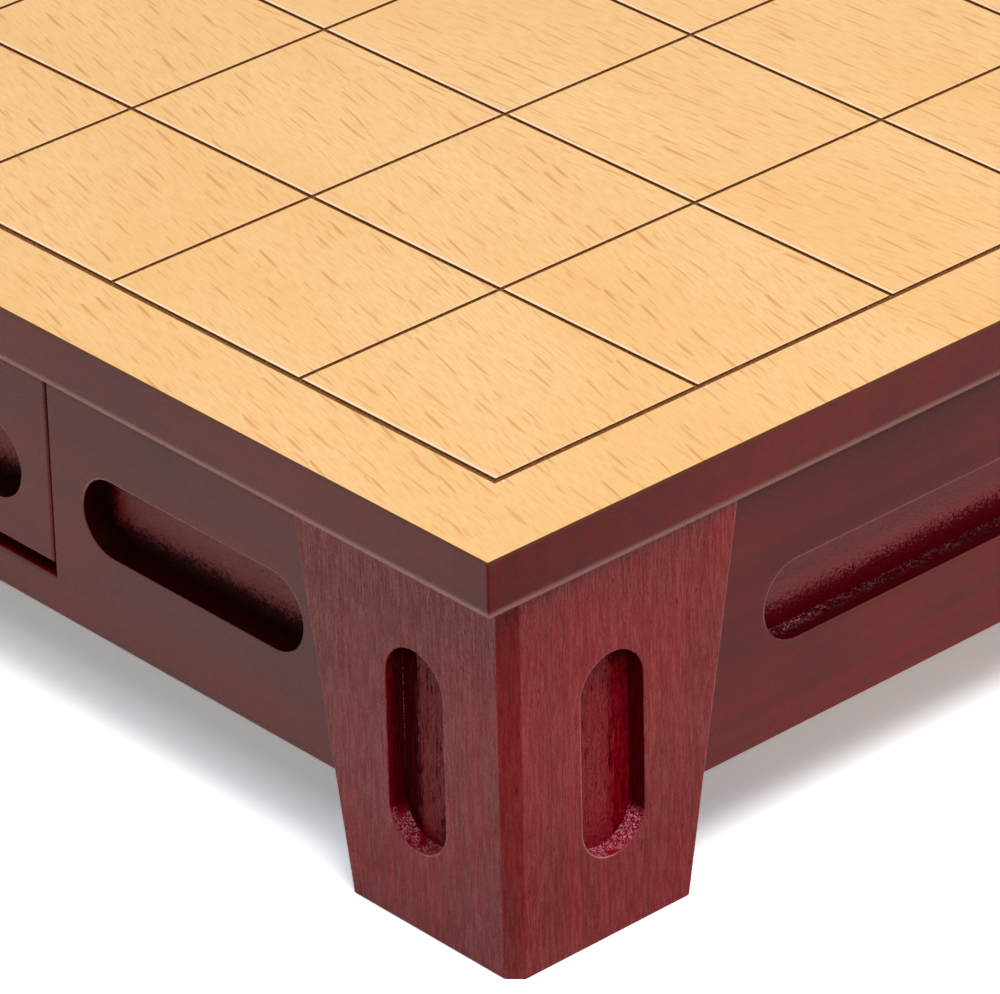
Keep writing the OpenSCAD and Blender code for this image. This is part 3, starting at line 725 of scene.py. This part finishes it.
stained_side = stained("stained_board", STAIN_DARK, STAIN_RED, "y", side_cuts, side_rim_highlight,
                       low_sheen_loss=0.15, shade_from=53.5)
assign(stained_side, "side_apron_left", "side_apron_right")
assign(stained("stained_end_board", STAIN_DARK, STAIN_RED, "x", end_cuts, end_rim_highlight,
               low_sheen_loss=0.5, shade_from=56.0),
       "end_apron_front", "end_apron_rear")


# Inner fittings: a plywood bottom panel let into the aprons, drawer guides, a stop between the
# drawers, cleats and dowels. They are planed pale wood, left bare, and show their end grain.
PALE_LIGHT = hue(228, 198, 150)
PALE_DARK = hue(204, 164, 112)
PALE_VEIN = hue(176, 130, 80)
PALE_END = hue(184, 142, 94)
PLY_FACE = hue(216, 180, 130)
PLY_FIGURE = hue(186, 142, 92)
PLY_CORE = hue(150, 108, 66)
# Two plies together, in mm
PLY_PITCH = 2


def pale_wood(name, grain):
    """Bare pale wood with its grain along an axis: growth rings, fine veins and end grain."""
    wood = bpy.data.materials.new(name)
    pale = Finish(wood)
    place = dict(zip("xyz", pale.place()))
    facing = dict(zip("xyz", pale.facing()))
    stretched = {axis: place[axis] * (0.04 if axis == grain else 1.0) for axis in "xyz"}
    where = pale.point(**stretched)
    swirl = pale.noise(where, scale=0.09, detail=2.0)
    ring = (swirl * 26).math("SINE") * 0.5 + 0.5
    vein = pale.noise(where, scale=2.2, detail=3.0, rough=0.65)
    blotch = pale.noise(pale.point(**place), scale=0.02)
    end = abs(facing[grain]).fade(0.6, 0.8)
    tone = pale.mix(ring * 0.6 + blotch * 0.4, PALE_LIGHT, PALE_DARK)
    tone = pale.mix(vein.fade(0.58, 0.72) * 0.5, tone, PALE_VEIN)
    tone = pale.mix(end * (ring * 0.4 + 0.5), tone, PALE_END)
    pale.set(
        Base_Color=tone, Roughness=vein * 0.15 + 0.52,
        Normal=pale.relief(vein * 0.06 + ring * 0.03, 0.001))
    return wood


def plywood(name):
    """Thin plywood: a peeled figure on its faces and plies of 1 mm along its edges."""
    wood = bpy.data.materials.new(name)
    ply = Finish(wood)
    x, y, z = ply.place()
    swirl = ply.noise(ply.point(x * 0.35, y, z), scale=0.03, detail=3.0, warp=1.2)
    figure = (swirl * 40).math("SINE") * 0.5 + 0.5
    vein = ply.noise(ply.point(x * 0.05, y, z), scale=1.8, detail=3.0, rough=0.65)
    tone = ply.mix(figure * 0.5 + vein.fade(0.5, 0.75) * 0.3, PLY_FACE, PLY_FIGURE)
    edge = 1 - abs(ply.facing()[2]).fade(0.3, 0.7)
    core = ((z / PLY_PITCH).math("FRACT") < 0.5) * edge
    tone = ply.mix(core * 0.8 + edge * 0.15, tone, PLY_CORE)
    ply.set(
        Base_Color=tone, Roughness=vein * 0.15 + 0.55,
        Normal=ply.relief(vein * 0.08 - core * 0.06, 0.001))
    return wood


thin_ply = plywood("thin_plywood")
pale_along_x = pale_wood("pale_wood_along_x", "x")
pale_along_y = pale_wood("pale_wood_along_y", "y")
assign(thin_ply, "bottom_panel")
assign(pale_along_x, "drawer_guide_front", "drawer_guide_rear", "top_cleat_front",
       "top_cleat_rear", "end_dowels")
assign(pale_along_y, "drawer_stop", "side_dowels")


# Screws: zinc-plated countersunk wood screws with a cross recess. Sixteen hold the bottom
# panel and six hold the cleats to the board, all driven from below. Sizes are in metres, and
# each SHARE is of the width or length that it changes.
HEAD_R = 0.0025
HEAD_H = 0.00125
SHANK_R = 0.00125
TIP_H = 0.0025
THREAD_PITCH = 0.0011
THREAD_IN = 0.45
ROOT_SHARE = 0.72
POINT_SHARE = 0.24
SIDES = 24
RECESS_SHARE = 0.56
RECESS_PINCH = 0.44
RECESS_DEPTH = 0.0009
RECESS_BOTTOM = 0.5
ARM_DEGREES = (22, 68)
SMOOTH_DEGREES = 35
NEXT_TURN = 0.7
ZINC = hue(202, 200, 192)
ZINC_DULL = hue(176, 170, 152)
PANEL_SCREW_L = 0.012
PANEL_SCREW_Z = 0.017
PANEL_SCREWS = [(x, y) for y in (-0.17845, 0.17845) for x in (-0.11524, 0.0, 0.11524)]
PANEL_SCREWS += [(x, y) for y in (-0.09805, 0.09805) for x in (-0.13735, 0.0, 0.13735)]
PANEL_SCREWS += [(x, y) for y in (-0.12727, 0.12727) for x in (-0.16485, 0.16485)]
CLEAT_SCREW_L = 0.016
CLEAT_SCREW_Z = 0.0448
CLEAT_SCREWS = [(x, y) for y in (-0.16795, 0.16795) for x in (-0.10835, 0.0, 0.10835)]


def pick(piece, kind, wanted):
    """Selects the faces or points of a piece that pass a test, and goes into edit mode."""
    bpy.ops.object.mode_set(mode="EDIT")
    bpy.ops.mesh.select_mode(type=kind)
    bpy.ops.mesh.select_all(action="DESELECT")
    bpy.ops.object.mode_set(mode="OBJECT")
    for part in piece.data.polygons if kind == "FACE" else piece.data.vertices:
        part.select = wanted(part)
    bpy.ops.object.mode_set(mode="EDIT")


def grow(height, share):
    """Draws the selected face out upwards and makes its end share times as wide."""
    bpy.ops.mesh.extrude_region_move(TRANSFORM_OT_translate={"value": (0, 0, height)})
    bpy.ops.transform.resize(value=(share, share, 1))


def between_arms(point):
    """Whether a point of the recess's outline lies between two arms of the cross."""
    turn = math.degrees(math.atan2(point.co.y, point.co.x)) % 90
    close = math.hypot(point.co.x, point.co.y) < HEAD_R * (RECESS_SHARE + 0.1)
    return point.co.z < 0.00001 and close and ARM_DEGREES[0] < turn < ARM_DEGREES[1]


def cross_screw(length):
    """A screw that points up, with its head's face at the floor of the scene."""
    bpy.ops.object.select_all(action="DESELECT")
    bpy.ops.mesh.primitive_cone_add(
        vertices=SIDES, radius1=HEAD_R, radius2=SHANK_R, depth=HEAD_H, location=(0, 0, HEAD_H / 2))
    bpy.ops.object.transform_apply(location=True, rotation=True, scale=True)
    screw = bpy.context.object
    pick(screw, "FACE", lambda face: face.normal.z > 0.9)
    turns = int((length - HEAD_H - TIP_H) / THREAD_PITCH)
    grow(length - HEAD_H - TIP_H - turns * THREAD_PITCH, 1.0)
    for _ in range(turns):
        grow(THREAD_PITCH * THREAD_IN, ROOT_SHARE)
        grow(THREAD_PITCH * (1 - THREAD_IN), 1 / ROOT_SHARE)
    grow(TIP_H, POINT_SHARE)
    pick(screw, "FACE", lambda face: face.normal.z < -0.9)
    bpy.ops.mesh.inset(thickness=HEAD_R * (1 - RECESS_SHARE), depth=0)
    pick(screw, "VERT", between_arms)
    bpy.ops.transform.resize(value=(RECESS_PINCH, RECESS_PINCH, 1))
    pick(screw, "FACE", lambda face: face.normal.z < -0.9 and len(face.vertices) == SIDES)
    grow(RECESS_DEPTH, RECESS_BOTTOM)
    bpy.ops.object.mode_set(mode="OBJECT")
    bpy.ops.object.shade_smooth_by_angle(angle=math.radians(SMOOTH_DEGREES))
    return screw


def zinc_plate(name):
    """Bright zinc, a little cloudy and gritty."""
    zinc = bpy.data.materials.new(name)
    plate = Finish(zinc)
    x, y, z = plate.place()
    cloudy = plate.noise(plate.point(x, y, z), scale=0.8, detail=3.0)
    grit = plate.noise(plate.point(x, y, z * 6), scale=5.0)
    plate.set(
        Base_Color=plate.mix(cloudy.fade(0.35, 0.65), ZINC, ZINC_DULL), Metallic=1.0,
        Roughness=cloudy * 0.2 + grit * 0.12 + 0.16, Normal=plate.relief(grit * 0.01, 0.001))
    return zinc


def screw_set(name, length, places, height, material, stands_for):
    """Copies one screw to each place, turned a little further each time, as one piece."""
    pattern = cross_screw(length)
    made = []
    for number, (x, y) in enumerate(places):
        copy = pattern.copy()
        copy.data = pattern.data.copy()
        turned = Matrix.Rotation(number * NEXT_TURN, 4, "Z")
        copy.data.transform(Matrix.Translation((x, y, height)) @ turned)
        bpy.context.scene.collection.objects.link(copy)
        made.append(copy)
    bpy.data.objects.remove(pattern)
    bpy.ops.object.select_all(action="DESELECT")
    for copy in made:
        copy.select_set(True)
    screws = made[0]
    bpy.context.view_layer.objects.active = screws
    bpy.ops.object.join()
    screws.name = name
    screws.data.materials.clear()
    screws.data.materials.append(material)
    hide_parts(stands_for)
    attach(screws, "table")


zinc = zinc_plate("zinc_plate")
screw_set("panel_screw_set", PANEL_SCREW_L, PANEL_SCREWS, PANEL_SCREW_Z, zinc, "panel_screws")
screw_set("cleat_screw_set", CLEAT_SCREW_L, CLEAT_SCREWS, CLEAT_SCREW_Z, zinc, "cleat_screws")


# Drawers: a front stained as the aprons and slotted as a pull, on a box of bare pale wood with
# a plywood bottom let into grooves. Each slides out of its own side of the table.
for side in ("left", "right"):
    assign(stained_side, side + "_drawer_front")
    assign(pale_along_x, side + "_drawer_side_front", side + "_drawer_side_rear")
    assign(pale_along_y, side + "_drawer_back")
    assign(thin_ply, side + "_drawer_bottom")
